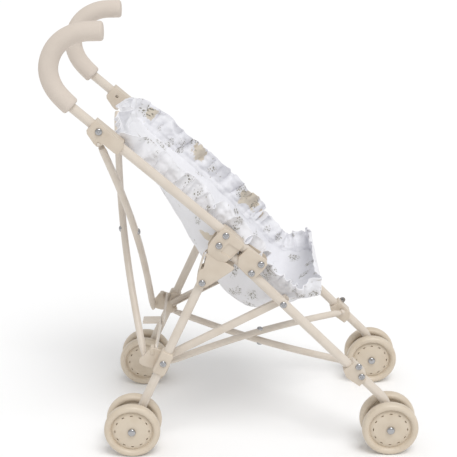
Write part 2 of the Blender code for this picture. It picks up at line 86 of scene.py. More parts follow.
@dataclass(frozen=True)
class SidePlane:
    """Places in the side plane as (forward of the rear axle, height) in millimetres."""

    fold_pivot: Point = (165.8, 258.7)
    leg_pivot: Point = (93.4, 235.1)
    strut_pivot: Point = (193.4, 203.7)
    top_pivot: Point = (-25.0, 411.0)
    rear_cross_end: Point = (15.5, 123.0)
    front_pivot: Point = (286.0, 112.0)
    lower_cross_end: Point = (46.0, 115.5)
    handle_screw: Point = (-24.0, 426.0)
    hinge_screw: Point = (123.5, 296.0)
    latch: Point = (114.8, 284.4)
    plate_screw: Point = (154.0, 247.4)
    leg_foot: Point = (324.5, 69.0)
    rear_axle: Point = (0.0, 36.0)
    front_axle: Point = (330.0, 36.0)
    link_pivot: Point = (34.0, 137.0)
    grip_line: tuple[Point, ...] = (
        (-55.3, 453.8), (-65.5, 464.5), (-73.5, 475), (-78.5, 487), (-80, 499), (-77.5, 511),
        (-71.5, 522.5), (-62, 532), (-50, 538.5), (-37, 541.8), (-20.4, 542.3))
    track: float = 102.0
    wheel_step: float = 15.0

    @staticmethod
    @cache
    def rear_axle_x() -> float:
        """Place of the rear axle along X, in metres, read from the frame."""
        low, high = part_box("rear_axle_right")
        return (low[0] + high[0]) / 2

    def at(self, point: Point, y: Number = 0.0) -> Vector:
        """Turn a side-plane point and a lateral place, both in millimetres, into metres.

        Args:
            point: Place in the side plane.
            y: Lateral place, positive to the left.

        Returns:
            The place in the row frame.
        """
        return Vector((self.rear_axle_x() + point[0] * MM, y * MM, point[1] * MM))

    @staticmethod
    def unit(start: Point, end: Point) -> Point:
        """Unit direction from start to end."""
        dx, dz = end[0] - start[0], end[1] - start[1]
        length = math.hypot(dx, dz)
        return (dx / length, dz / length)

    def toward(self, start: Point, end: Point, distance: float) -> Point:
        """Point at a distance from start toward end."""
        dx, dz = self.unit(start, end)
        return (start[0] + dx * distance, start[1] + dz * distance)


    @property
    def rear_sleeve(self) -> Point:
        """Middle of the rear bracket's sleeve."""
        return self.toward(self.rear_axle, self.leg_pivot, 99)


PLANE = SidePlane()


def between(a: Vector, b: Vector, c: Vector, d: Vector, t: float) -> Vector:
    """Place at t from 0 to 1 between b and c on a smooth line through four points."""
    return 0.5 * (2 * b + (c - a) * t + (2 * a - 5 * b + 4 * c - d) * t * t
                  + (3 * b - a - 3 * c + d) * t ** 3)


def spline_through(points: Sequence[Vector], steps: int) -> list[Vector]:
    """Smooth line through points.

    Args:
        points: Places that the line passes.
        steps: Places made between each pair of points.

    Returns:
        The places along the line, its ends included.
    """
    padded = [2 * points[0] - points[1], *points, 2 * points[-1] - points[-2]]
    line = []
    for a, b, c, d in zip(padded, padded[1:], padded[2:], padded[3:]):
        line += [between(a, b, c, d, step / steps) for step in range(steps)]
    return line + [points[-1].copy()]


# --------------------------------------------------------------------------- modelling


def clear_selection() -> None:
    """Leave edit mode and deselect every object."""
    if bpy.context.object and bpy.context.object.mode != "OBJECT":
        bpy.ops.object.mode_set(mode="OBJECT")
    bpy.ops.object.select_all(action="DESELECT")


def activate(obj: bpy.types.Object) -> None:
    """Make obj the only selected and the active object."""
    clear_selection()
    obj.select_set(True)
    bpy.context.view_layer.objects.active = obj


def edit_all(obj: bpy.types.Object) -> None:
    """Enter edit mode on obj with everything selected."""
    activate(obj)
    bpy.ops.object.mode_set(mode="EDIT")
    bpy.ops.mesh.select_all(action="SELECT")


def settle(obj: bpy.types.Object) -> None:
    """Put obj's place, turn and scale into its mesh."""
    activate(obj)
    bpy.ops.object.transform_apply(location=True, rotation=True, scale=True)


def finish_with(obj: bpy.types.Object, kind: str, **settings: object) -> None:
    """Add a modifier and apply it.

    Args:
        obj: Piece that takes the modifier.
        kind: Blender's name of the modifier type.
        settings: Values of the modifier.
    """
    step = obj.modifiers.new(kind.title(), kind)
    for name, value in settings.items():
        setattr(step, name, value)
    activate(obj)
    bpy.ops.object.modifier_apply(modifier=step.name)


def smooth(obj: bpy.types.Object, degrees: float = 35.0) -> None:
    """Shade obj smooth except where its faces meet at more than an angle."""
    activate(obj)
    bpy.ops.object.shade_smooth_by_angle(angle=math.radians(degrees))


def tidy_normals(obj: bpy.types.Object) -> None:
    """Merge doubles and turn every face of a closed piece outwards."""
    edit_all(obj)
    bpy.ops.mesh.remove_doubles(threshold=2e-5)
    bpy.ops.mesh.normals_make_consistent(inside=False)
    bpy.ops.object.mode_set(mode="OBJECT")


def turned(name: str, profile: Sequence[Point], segments: int = 48) -> bpy.types.Object:
    """Turn a closed piece about Z by extruding a disc ring by ring.

    Args:
        name: Name of the piece.
        profile: (radius, height) of each ring in millimetres, from bottom to top.
        segments: Faces round the piece.

    Returns:
        The new piece, its axis on Z.
    """
    clear_selection()
    first_r, first_h = profile[0]
    bpy.ops.mesh.primitive_circle_add(vertices=segments, radius=first_r * MM, fill_type="NGON",
                                      location=(0, 0, first_h * MM))
    obj = bpy.context.object
    obj.name = name
    edit_all(obj)
    for (r0, h0), (r1, h1) in zip(profile, profile[1:]):
        bpy.ops.mesh.extrude_region_move(
            TRANSFORM_OT_translate={"value": (0, 0, (h1 - h0) * MM)})
        bpy.ops.transform.resize(value=(r1 / r0, r1 / r0, 1), center_override=(0, 0, h1 * MM))
    bpy.ops.object.mode_set(mode="OBJECT")
    settle(obj)
    tidy_normals(obj)
    return obj


def lay_on_side(obj: bpy.types.Object, place: Vector, outward: int) -> None:
    """Turn a piece's Z toward the outside of one side and put it in place.

    Args:
        obj: Piece whose axis is Z.
        place: Where its origin goes.
        outward: Sign of the Y that its top faces.
    """
    obj.rotation_euler = (-outward * math.pi / 2, 0, 0)
    obj.location = place
    settle(obj)


def copy_of(obj: bpy.types.Object, name: str) -> bpy.types.Object:
    """Copy a piece with a mesh of its own."""
    made = obj.copy()
    made.data = obj.data.copy()
    made.name = name
    bpy.context.scene.collection.objects.link(made)
    return made


def discard(obj: bpy.types.Object) -> None:
    """Remove an object that only helped to make others."""
    bpy.data.objects.remove(obj, do_unlink=True)


def rounded_ends(line: Sequence[Vector], radius: float,
                 rounding: float) -> tuple[list[Vector], list[float]]:
    """Add rings near both ends of a line that round a tube swept along it.

    Args:
        line: Places along the tube's middle.
        radius: Radius in millimetres.
        rounding: Radius of the rounding in millimetres.

    Returns:
        The new places and each one's share of the radius.
    """
    places, shares = list(line), [1.0] * len(line)
    steps = [rounding * (1 - math.cos(math.radians(a))) for a in (0, 22, 45, 67, 90)]
    for end in (0, -1):
        start, after = places[end], places[1 if end == 0 else -2]
        ahead = (after - start).normalized()
        rings = [(start + ahead * step * MM,
                  1 - (rounding - math.sqrt(max(rounding ** 2 - (rounding - step) ** 2, 0)))
                  / radius) for step in steps]
        if end == 0:
            places[:1], shares[:1] = [r[0] for r in rings], [r[1] for r in rings]
        else:
            places[-1:], shares[-1:] = ([r[0] for r in reversed(rings)],
                                        [r[1] for r in reversed(rings)])
    return places, shares


def tube(name: str, line: Sequence[Vector], radius: float, sides: int = 24,
         rounding: float = 0.8) -> bpy.types.Object:
    """Sweep a round tube along a line and close its rounded ends.

    Args:
        name: Name of the piece.
        line: Places along the tube's middle.
        radius: Radius in millimetres.
        sides: Faces round the tube.
        rounding: Radius of the rounding at its ends in millimetres.

    Returns:
        The tube as a mesh.
    """
    clear_selection()
    bpy.ops.curve.primitive_nurbs_path_add()
    obj = bpy.context.object
    obj.name = name
    curve = obj.data
    curve.splines.clear()
    curve.bevel_depth = radius * MM
    curve.bevel_resolution = max(sides // 2 - 2, 0)
    curve.use_fill_caps = True
    places, shares = rounded_ends(line, radius, rounding)
    spline = curve.splines.new("POLY")
    spline.points.add(len(places) - 1)
    for point, place, share in zip(spline.points, places, shares):
        point.co = (*place, 1.0)
        point.radius = share
    activate(obj)
    bpy.ops.object.convert(target="MESH")
    obj = bpy.context.object
    settle(obj)
    tidy_normals(obj)
    return obj


def plate(name: str, outline: Sequence[Point], near: float, far: float) -> bpy.types.Object:
    """Cut a plate to an outline in the side plane.

    Args:
        name: Name of the piece.
        outline: Its corners as side-plane places in millimetres.
        near: Lateral place of one face in millimetres.
        far: Lateral place of the other face.

    Returns:
        The plate.
    """
    clear_selection()
    bpy.ops.mesh.primitive_circle_add(vertices=len(outline), radius=MM, fill_type="NGON")
    obj = bpy.context.object
    obj.name = name
    for vert, corner in zip(obj.data.vertices, outline):
        vert.co = PLANE.at(corner, near)
    edit_all(obj)
    bpy.ops.mesh.extrude_region_move(TRANSFORM_OT_translate={"value": (0, (far - near) * MM, 0)})
    bpy.ops.object.mode_set(mode="OBJECT")
    tidy_normals(obj)
    return obj


def cut_away(obj: bpy.types.Object, tool: bpy.types.Object) -> None:
    """Cut a closed tool out of obj and remove the tool."""
    finish_with(obj, "BOOLEAN", object=tool, operation="DIFFERENCE")
    discard(tool)


def merge(obj: bpy.types.Object, *others: bpy.types.Object) -> None:
    """Join other pieces into obj."""
    activate(obj)
    for other in others:
        other.select_set(True)
    bpy.ops.object.join()


def rounded(obj: bpy.types.Object, width: float, sharp: float = 30) -> bpy.types.Object:
    """Round the sharp edges of a piece.

    Args:
        obj: Closed piece.
        width: Width of the rounding in millimetres.
        sharp: Edges that turn by more degrees than this are rounded.

    Returns:
        The piece.
    """
    finish_with(obj, "BEVEL", width=width * MM, segments=3, limit_method="ANGLE",
                angle_limit=math.radians(sharp), use_clamp_overlap=True)
    return obj


def softened(node: str, name: str, width: float) -> bpy.types.Object:
    """Copy a CAD node, merge its triangles and round its edges.

    Args:
        node: Name of the CAD node.
        name: Name of the piece.
        width: Width of the rounding in millimetres.

    Returns:
        The rounded copy.
    """
    obj = copy_of(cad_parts[node], name)
    obj.parent = None
    obj.matrix_world = Matrix.Identity(4)
    for key in list(obj.keys()):
        if key.startswith("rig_"):
            del obj[key]
    edit_all(obj)
    bpy.ops.mesh.remove_doubles(threshold=2e-6)
    bpy.ops.mesh.dissolve_limited(angle_limit=math.radians(1.5))
    bpy.ops.object.mode_set(mode="OBJECT")
    rounded(obj, width, 32)
    smooth(obj, 50)
    return obj


# --------------------------------------------------------------------------- shader maths


class Wire:
    """A socket that adds Math nodes when it is used in an expression."""

    def __init__(self, graph: "Graph", socket: bpy.types.NodeSocket) -> None:
        """Wrap one output socket of a graph."""
        self.graph = graph
        self.socket = socket

    def _math(self, operation: str, *values: Union["Wire", Number]) -> "Wire":
        """Add one Math node."""
        return self.graph.node("ShaderNodeMath", {"operation": operation}, dict(enumerate(values)))

    def __add__(self, other: Union["Wire", Number]) -> "Wire":
        """Sum."""
        return self._math("ADD", self, other)

    __radd__ = __add__

    def __mul__(self, other: Union["Wire", Number]) -> "Wire":
        """Product."""
        return self._math("MULTIPLY", self, other)

    __rmul__ = __mul__

    def __sub__(self, other: Union["Wire", Number]) -> "Wire":
        """Difference."""
        return self._math("SUBTRACT", self, other)

    def __rsub__(self, other: Union["Wire", Number]) -> "Wire":
        """Difference from a number."""
        return self._math("SUBTRACT", other, self)

    def __gt__(self, other: Union["Wire", Number]) -> "Wire":
        """1 where this is above other, else 0."""
        return self._math("GREATER_THAN", self, other)

    def fade(self, low: float, high: float) -> "Wire":
        """Go smoothly from 0 at low to 1 at high."""
        return self.graph.node("ShaderNodeMapRange", {"interpolation_type": "SMOOTHSTEP"},
                               {"Value": self, "From Min": low, "From Max": high})


class Graph:
    """Node tree of one material."""

    def __init__(self, name: str) -> None:
        """Start a material with a Principled shader."""
        self.material = bpy.data.materials.new(name)
        self.material.use_nodes = True
        self.tree = self.material.node_tree
        self.shader = self.tree.nodes["Principled BSDF"]

    def node(self, kind: str, settings: dict[str, object],
             values: dict[Union[int, str], object], output: Union[int, str] = 0) -> Wire:
        """Add a node.

        Args:
            kind: Node type.
            settings: Properties, set before the sockets.
            values: Value or Wire of each input socket.
            output: Output socket to return.

        Returns:
            The chosen output.
        """
        made = self.tree.nodes.new(kind)
        for name, value in settings.items():
            setattr(made, name, value)
        for key, value in values.items():
            if isinstance(value, Wire):
                self.tree.links.new(value.socket, made.inputs[key])
            else:
                made.inputs[key].default_value = value
        return Wire(self, made.outputs[output])

    def coords(self, source: Coords) -> Wire:
        """Coordinates of a pattern."""
        return self.node("ShaderNodeTexCoord", {}, {}, source.value)

    def noise(self, where: Wire, scale: float, detail: float = 2.0, rough: float = 0.5) -> Wire:
        """Noise value of about 0 to 1 at a scale per metre."""
        return self.node("ShaderNodeTexNoise", {}, {"Vector": where, "Scale": scale,
                                                    "Detail": detail, "Roughness": rough})

    def mix(self, factor: Union[Wire, Number], one: object, two: object) -> Wire:
        """Mix two colours, each a Wire or three numbers."""
        colour = [c if isinstance(c, Wire) else (*c, 1.0) for c in (one, two)]
        return self.node("ShaderNodeMix", {"data_type": "RGBA"},
                         {0: factor, 6: colour[0], 7: colour[1]}, 2)

    def bump(self, height: Wire, distance: float, strength: float = 1.0) -> None:
        """Send a height to the shader's normal.

        Args:
            height: Height of about 0 to 1.
            distance: Height in metres at 1.
            strength: Share of the effect.
        """
        normal = self.node("ShaderNodeBump", {}, {"Height": height, "Distance": distance,
                                                  "Strength": strength})
        self.feed("Normal", normal)

    def feed(self, socket: str, value: object) -> None:
        """Link or set one input of the shader."""
        if isinstance(value, Wire):
            self.tree.links.new(value.socket, self.shader.inputs[socket])
        else:
            self.shader.inputs[socket].default_value = value


Colour = tuple[float, float, float]


@dataclass(frozen=True)
class PaintedSteel:
    """Satin cream powder coat with faint orange peel and handling dust."""

    name: str = "cream_powder_coat"
    colour: Colour = (0.675, 0.605, 0.525)
    dusty: Colour = (0.560, 0.475, 0.385)
    roughness: float = 0.36

    def build(self) -> bpy.types.Material:
        """Make the material."""
        g = Graph(self.name)
        where = g.coords(Coords.OBJECT)
        cloud = g.noise(where, 38.0, 3.0)
        peel = g.noise(where, 1400.0, 1.0)
        g.feed("Base Color", g.mix(cloud.fade(0.42, 0.8) * 0.45, self.colour, self.dusty))
        g.feed("Roughness", cloud * 0.16 + (self.roughness - 0.06))
        g.feed("Coat Weight", 0.15)
        g.feed("Coat Roughness", 0.25)
        g.bump(peel, 0.00006, 0.5)
        return g.material


@dataclass(frozen=True)
class MouldedPlastic:
    """Cream plastic with the fine grain and slight mottling of a moulding."""

    name: str
    colour: Colour
    deep: Colour
    roughness: float = 0.42
    grain: float = 1600.0
    depth: float = 0.00005

    def build(self) -> bpy.types.Material:
        """Make the material."""
        g = Graph(self.name)
        where = g.coords(Coords.OBJECT)
        cloud = g.noise(where, 55.0, 3.0)
        scuff = g.noise(where, 420.0, 3.0, 0.7)
        grain = g.noise(where, self.grain, 2.0)
        g.feed("Base Color", g.mix(cloud.fade(0.35, 0.75) * 0.5, self.colour, self.deep))
        g.feed("Roughness", scuff.fade(0.45, 0.75) * 0.14 + self.roughness)
        g.bump(grain + scuff * 0.5, self.depth, 0.5)
        return g.material


@dataclass(frozen=True)
class GripFoam:
    """Closed-cell foam with fine pores."""

    name: str = "cream_grip_foam"
    colour: Colour = (0.665, 0.590, 0.520)
    pore: Colour = (0.50, 0.43, 0.37)

    def build(self) -> bpy.types.Material:
        """Make the material."""
        g = Graph(self.name)
        where = g.coords(Coords.OBJECT)
        cells = g.node("ShaderNodeTexVoronoi", {}, {"Vector": where, "Scale": 1250.0}, "Distance")
        cloud = g.noise(where, 60.0, 3.0)
        pores = 1 - cells.fade(0.05, 0.4)
        g.feed("Base Color", g.mix(pores * 0.35 + cloud * 0.2, self.colour, self.pore))
        g.feed("Roughness", cloud * 0.1 + 0.82)
        g.bump(cells + cloud, 0.00022, 0.7)
        return g.material


@dataclass(frozen=True)
class PolishedSteel:
    """Plated screws and axle caps with fine scratches."""

    name: str = "polished_plating"
    colour: Colour = (0.46, 0.46, 0.47)
    scratched: Colour = (0.30, 0.30, 0.31)

    def build(self) -> bpy.types.Material:
        """Make the material."""
        g = Graph(self.name)
        where = g.coords(Coords.OBJECT)
        scratch = g.noise(where, 900.0, 3.0, 0.7)
        g.feed("Base Color", g.mix(scratch * 0.3, self.colour, self.scratched))
        g.feed("Metallic", 1.0)
        g.feed("Roughness", scratch * 0.12 + 0.06)
        g.bump(scratch, 0.00003, 0.4)
        return g.material


@dataclass(frozen=True)
class PrintedCotton:
    """White cotton with scattered grey-green sprigs, beige patches and a plain weave."""

    name: str = "printed_cotton"
    ground: Colour = (0.83, 0.83, 0.86)
    patch: Colour = (0.66, 0.575, 0.44)
    inks: tuple[Colour, Colour] = ((0.13, 0.125, 0.10), (0.34, 0.31, 0.24))
    patches: tuple[tuple[float, float, float, float], ...] = ()
    thread: float = 0.00055

    def weave(self, g: Graph, where: Wire) -> Wire:
        """Height of a plain weave on the cloth's own map in metres."""
        pitch = 1 / (self.thread * 2)
        waves = [g.node("ShaderNodeTexWave", {"bands_direction": axis, "wave_profile": "SIN"},
                        {"Vector": where, "Scale": pitch / 3.1416, "Distortion": 0.6,
                         "Detail": 1.0}, "Fac") for axis in ("X", "Y")]
        return waves[0] * waves[1]

    def build(self) -> bpy.types.Material:
        """Make the material."""
        g = Graph(self.name)
        cloth = g.coords(Coords.UV)
        place = g.coords(Coords.OBJECT)
        sprig = {"Vector": cloth, "Scale": 34.0, "Randomness": 0.9}
        near = g.node("ShaderNodeTexVoronoi", {}, sprig, "Distance")
        pick = g.node("ShaderNodeTexVoronoi", {}, sprig, "Color")
        ragged = g.noise(cloth, 230.0, 2.0)
        cluster = (1 - (near + ragged * 0.35).fade(0.42, 0.58)) * (pick > 0.22)
        dots = g.node("ShaderNodeTexVoronoi", {}, {"Vector": cloth, "Scale": 360.0,
                                                   "Randomness": 0.9}, "Distance")
        dab = g.noise(cloth, 640.0, 2.0)
        ink = (1 - (dots + dab * 0.35).fade(0.50, 0.68)) * cluster
        stray = g.node("ShaderNodeTexVoronoi", {}, {"Vector": cloth, "Scale": 95.0}, "Distance")
        specks = (1 - stray.fade(0.09, 0.17)) * (g.noise(cloth, 21.0) > 0.52)
        colour = self.ground
        if self.patches:
            wobble = g.noise(place, 85.0, 3.0) * 0.034
            area = None
            for x, y, z, r in self.patches:
                away = g.node("ShaderNodeVectorMath", {"operation": "DISTANCE"},
                              {0: place, 1: (x, y, z)}, "Value")
                spot = 1 - (away + wobble - 0.017).fade(r - 0.002, r + 0.002)
                area = spot if area is None else area + spot
            colour = g.mix(area.fade(0.0, 1.0) * 0.85, colour, self.patch)
        colour = g.mix(cluster * 0.16, colour, self.inks[1])
        colour = g.mix(ink * 0.95, colour, g.mix(dab.fade(0.4, 0.6), *self.inks))
        colour = g.mix(specks * 0.55, colour, self.inks[1])
        threads = self.weave(g, cloth)
        g.feed("Base Color", g.mix((1 - threads) * 0.06, colour, (0.55, 0.55, 0.58)))
        g.feed("Roughness", 0.86)
        g.feed("Sheen Weight", 0.25)
        crush = g.node("ShaderNodeTexNoise", {"noise_type": "RIDGED_MULTIFRACTAL"},
                       {"Vector": cloth, "Scale": 42.0, "Detail": 3.0, "Roughness": 0.45,
                        "Distortion": 0.8})
        g.bump(threads * 0.08 + crush * 0.8 + g.noise(cloth, 160.0, 3.0) * 0.5, 0.0016, 0.75)
        return g.material


class Finishes:
    """Every material of the stroller."""

    def __init__(self) -> None:
        """Build the materials once."""
        patches = tuple((*PLANE.at(point, y), radius * MM) for point, y, radius in (
            ((23, 404), 85, 10), ((87, 348), 85, 12), ((109, 299), 50, 15), ((124, 286), 40, 12),
            ((157, 281), 85, 14), ((103, 285), -72, 11)))
        self.steel = PaintedSteel().build()
        self.bracket = MouldedPlastic("cream_bracket_plastic", (0.63, 0.55, 0.455),
                                      (0.54, 0.455, 0.36), 0.40).build()
        self.wheel = MouldedPlastic("cream_wheel_plastic", (0.64, 0.555, 0.445),
                                    (0.55, 0.455, 0.34), 0.36, 900.0, 0.00004).build()
        self.foam = GripFoam().build()
        self.plating = PolishedSteel().build()
        self.cotton = PrintedCotton(patches=patches).build()


def dress(obj: bpy.types.Object, finish: bpy.types.Material, slot: str, body: str,
          *nodes: str) -> bpy.types.Object:
    """Give a piece its material and its body, and hide the CAD nodes it stands for.

    Args:
        obj: Finished piece.
        finish: Its material.
        slot: Material slot of the record; not used.
        body: CAD body that it moves with.
        nodes: CAD nodes that it replaces.

    Returns:
        The piece.
    """
    obj.data.materials.clear()
    obj.data.materials.append(finish)
    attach(obj, body)
    if nodes:
        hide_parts(*nodes)
    LOG.info("made %s on %s", obj.name, body)
    return obj


# --------------------------------------------------------------------------- frame tubes


@dataclass
class FrameTubes:
    """Handle, front leg and rear leg tubes with their grips."""

    finishes: Finishes
    tube_r: float = 6.0
    leg_r: float = 5.75
    grip_r: float = 11.5
    grip_sides: int = 40
    grip_rounding: float = 3.4
    grip_tip: Point = (-14.0, 542.3)
    elbow: Point = (120, 299.2)
    shoulder: Point = (0, 405.1)
    foot: tuple[Point, ...] = ((316, 77.7), (323, 69), (327.5, 58), (329.5, 47), (330, 29.5))
    past_fold: float = 5.0
    past_latch: float = 8.0
    past_pivots: float = 6.5

    def build(self) -> None:
        """Make both sides."""
        for side in Side:
            self.handle(side)
            self.front_leg(side)
            self.rear_leg(side)

    def paint(self, side: Side, name: str, line: Sequence[Vector], radius: float, body: str,
              node: str) -> None:
        """Sweep one tube and paint it.

        Args:
            side: Side of the stroller.
            name: Start of the piece's name.
            line: Places along the tube's middle.
            radius: Radius in millimetres.
            body: End of the body's name.
            node: Start of the CAD node's name.
        """
        pipe = tube(f"{name}_{side.tag}", line, radius)
        smooth(pipe)
        dress(pipe, self.finishes.steel, "frame_steel", f"{side.tag}_{body}",
              f"{node}_{side.tag}")

    def handle(self, side: Side) -> None:
        """Make one handle tube and its foam grip."""
        y = side.value * PLANE.track
        lower = PLANE.at(PLANE.toward(PLANE.fold_pivot, self.elbow, -self.past_fold), y)
        shaft = [lower] + [lower.lerp(PLANE.at(self.shoulder, y), t / 8) for t in range(1, 9)]
        bend = spline_through([PLANE.at(p, y) for p in PLANE.grip_line], 3)
        self.paint(side, "painted_handle_tube", shaft + bend, self.tube_r, "push_handle",
                   "push_handle_tube")
        grip = tube(f"foam_grip_{side.tag}", bend + [PLANE.at(self.grip_tip, y)], self.grip_r,
                    self.grip_sides, self.grip_rounding)
        smooth(grip, 60)
        dress(grip, self.finishes.foam, "grip_foam", f"{side.tag}_push_handle",
              f"handle_grip_{side.tag}")

    def front_leg(self, side: Side) -> None:
        """Make one front leg tube with its bent foot."""
        y = side.value * PLANE.track
        top = PLANE.toward(PLANE.latch, PLANE.leg_foot, -self.past_latch)
        run = [PLANE.toward(top, PLANE.leg_foot, d) for d in (0, 60, 120, 180, 240, 282)]
        line = spline_through([PLANE.at(p, y) for p in (*run, *self.foot)], 4)
        self.paint(side, "painted_front_leg", line, self.tube_r, "front_leg", "front_leg_tube")

    def rear_leg(self, side: Side) -> None:
        """Make one straight rear leg tube."""
        y = side.value * PLANE.track
        start = PLANE.toward(PLANE.rear_axle, PLANE.leg_pivot, -self.past_pivots)
        end = PLANE.toward(PLANE.leg_pivot, PLANE.rear_axle, -self.past_pivots)
        line = [PLANE.at(start, y).lerp(PLANE.at(end, y), t / 10) for t in range(11)]
        self.paint(side, "painted_rear_leg", line, self.leg_r, "rear_leg", "rear_leg_tube")


@dataclass(frozen=True)
class Bar:
    """One kind of scissor bar, with its lengths in millimetres."""

    name: str
    start: Point
    end: Point
    start_width: float
    end_width: float
    bow: float
    clear: float


@dataclass
class CrossBars:
    """The two scissors, the side struts and the crossbar links."""

    finishes: Finishes
    bar_r: float = 4.6
    flat_share: float = 0.62
    flat_reach: float = 16.0
    bars: tuple[Bar, ...] = (
        Bar("rear_cross_bar", PLANE.top_pivot, PLANE.rear_cross_end, 102, 80, -9.0, 8.0),
        Bar("lower_cross_bar", PLANE.front_pivot, PLANE.lower_cross_end, 83, 83, -6.5, 5.0))
    rivet_face: tuple[Point, ...] = ((3.9, -0.4), (4.1, 4.4), (3.9, 5.0), (3.0, 5.9), (1.6, 6.4))
    plain: tuple[tuple[str, str, float], ...] = (
        ("side_strut", "strut", 0.5), ("crossbar_link", "crossbar_link", 0.35),
        ("top_swivel", "top_swivel", 0.15), ("front_swivel", "front_swivel", 0.15))

    def build(self) -> None:
        """Make every bar."""
        for side in Side:
            for bar in self.bars:
                self.bar(side, bar)
            for node, body, width in self.plain:
                piece = softened(f"{node}_{side.tag}", f"painted_{node}_{side.tag}", width)
                dress(piece, self.finishes.steel, "frame_steel", f"{side.tag}_{body}",
                      f"{node}_{side.tag}")

    def bar(self, side: Side, bar: Bar) -> None:
        """Make one bowed bar with pressed ends and its rivet.

        Args:
            side: Side where the bar's ball is.
            bar: Its places and lengths.
        """
        along = PLANE.unit(bar.start, bar.end)
        normal = Vector((-along[1], 0, along[0]))
        first = PLANE.at(bar.start, side.value * bar.start_width)
        last = PLANE.at(bar.end, -side.value * bar.end_width)
        begin = bar.clear * MM / (last - first).length
        rise = normal * bar.bow * side.value * MM
        line = []
        for step in range(41):
            t = begin + (1 - begin) * step / 40
            line.append(first.lerp(last, t) + rise * math.sin(math.pi * t))
        pipe = tube(f"painted_{bar.name}_{side.tag}", line, self.bar_r)
        self.press_ends(pipe, first, last, normal)
        smooth(pipe)
        dress(pipe, self.finishes.steel, "frame_steel", f"{side.tag}_{bar.name}",
              f"{bar.name}_{side.tag}")
        middle = first.lerp(last, 0.5) + rise
        away = math.copysign(1.0, bar.bow * side.value)
        self.rivet(f"{bar.name}_rivet_{side.tag}", middle, normal * away,
                   f"{side.tag}_{bar.name}")

    def press_ends(self, pipe: bpy.types.Object, first: Vector, last: Vector,
                   normal: Vector) -> None:
        """Flatten both ends of a bar a little along its scissor's normal."""
        axis = last - first
        for vert in pipe.data.vertices:
            share = (vert.co - first).dot(axis) / axis.length_squared
            reach = min(share, 1 - share) * axis.length
            ease = max(0.0, 1 - reach / (self.flat_reach * MM))
            keep = 1 - (1 - self.flat_share) * ease * ease * (3 - 2 * ease)
            middle = first.lerp(last, share)
            stand = (vert.co - middle).dot(normal)
            vert.co -= normal * stand * (1 - keep)

    def rivet(self, name: str, place: Vector, out: Vector, body: str) -> None:
        """Make the domed rivet at the middle of a bar."""
        head = turned(name, self.rivet_face, 24)
        head.rotation_euler = out.to_track_quat("Z", "Y").to_euler()
        head.location = place
        settle(head)
        smooth(head, 40)
        dress(head, self.finishes.plating, "screw_chrome", body)


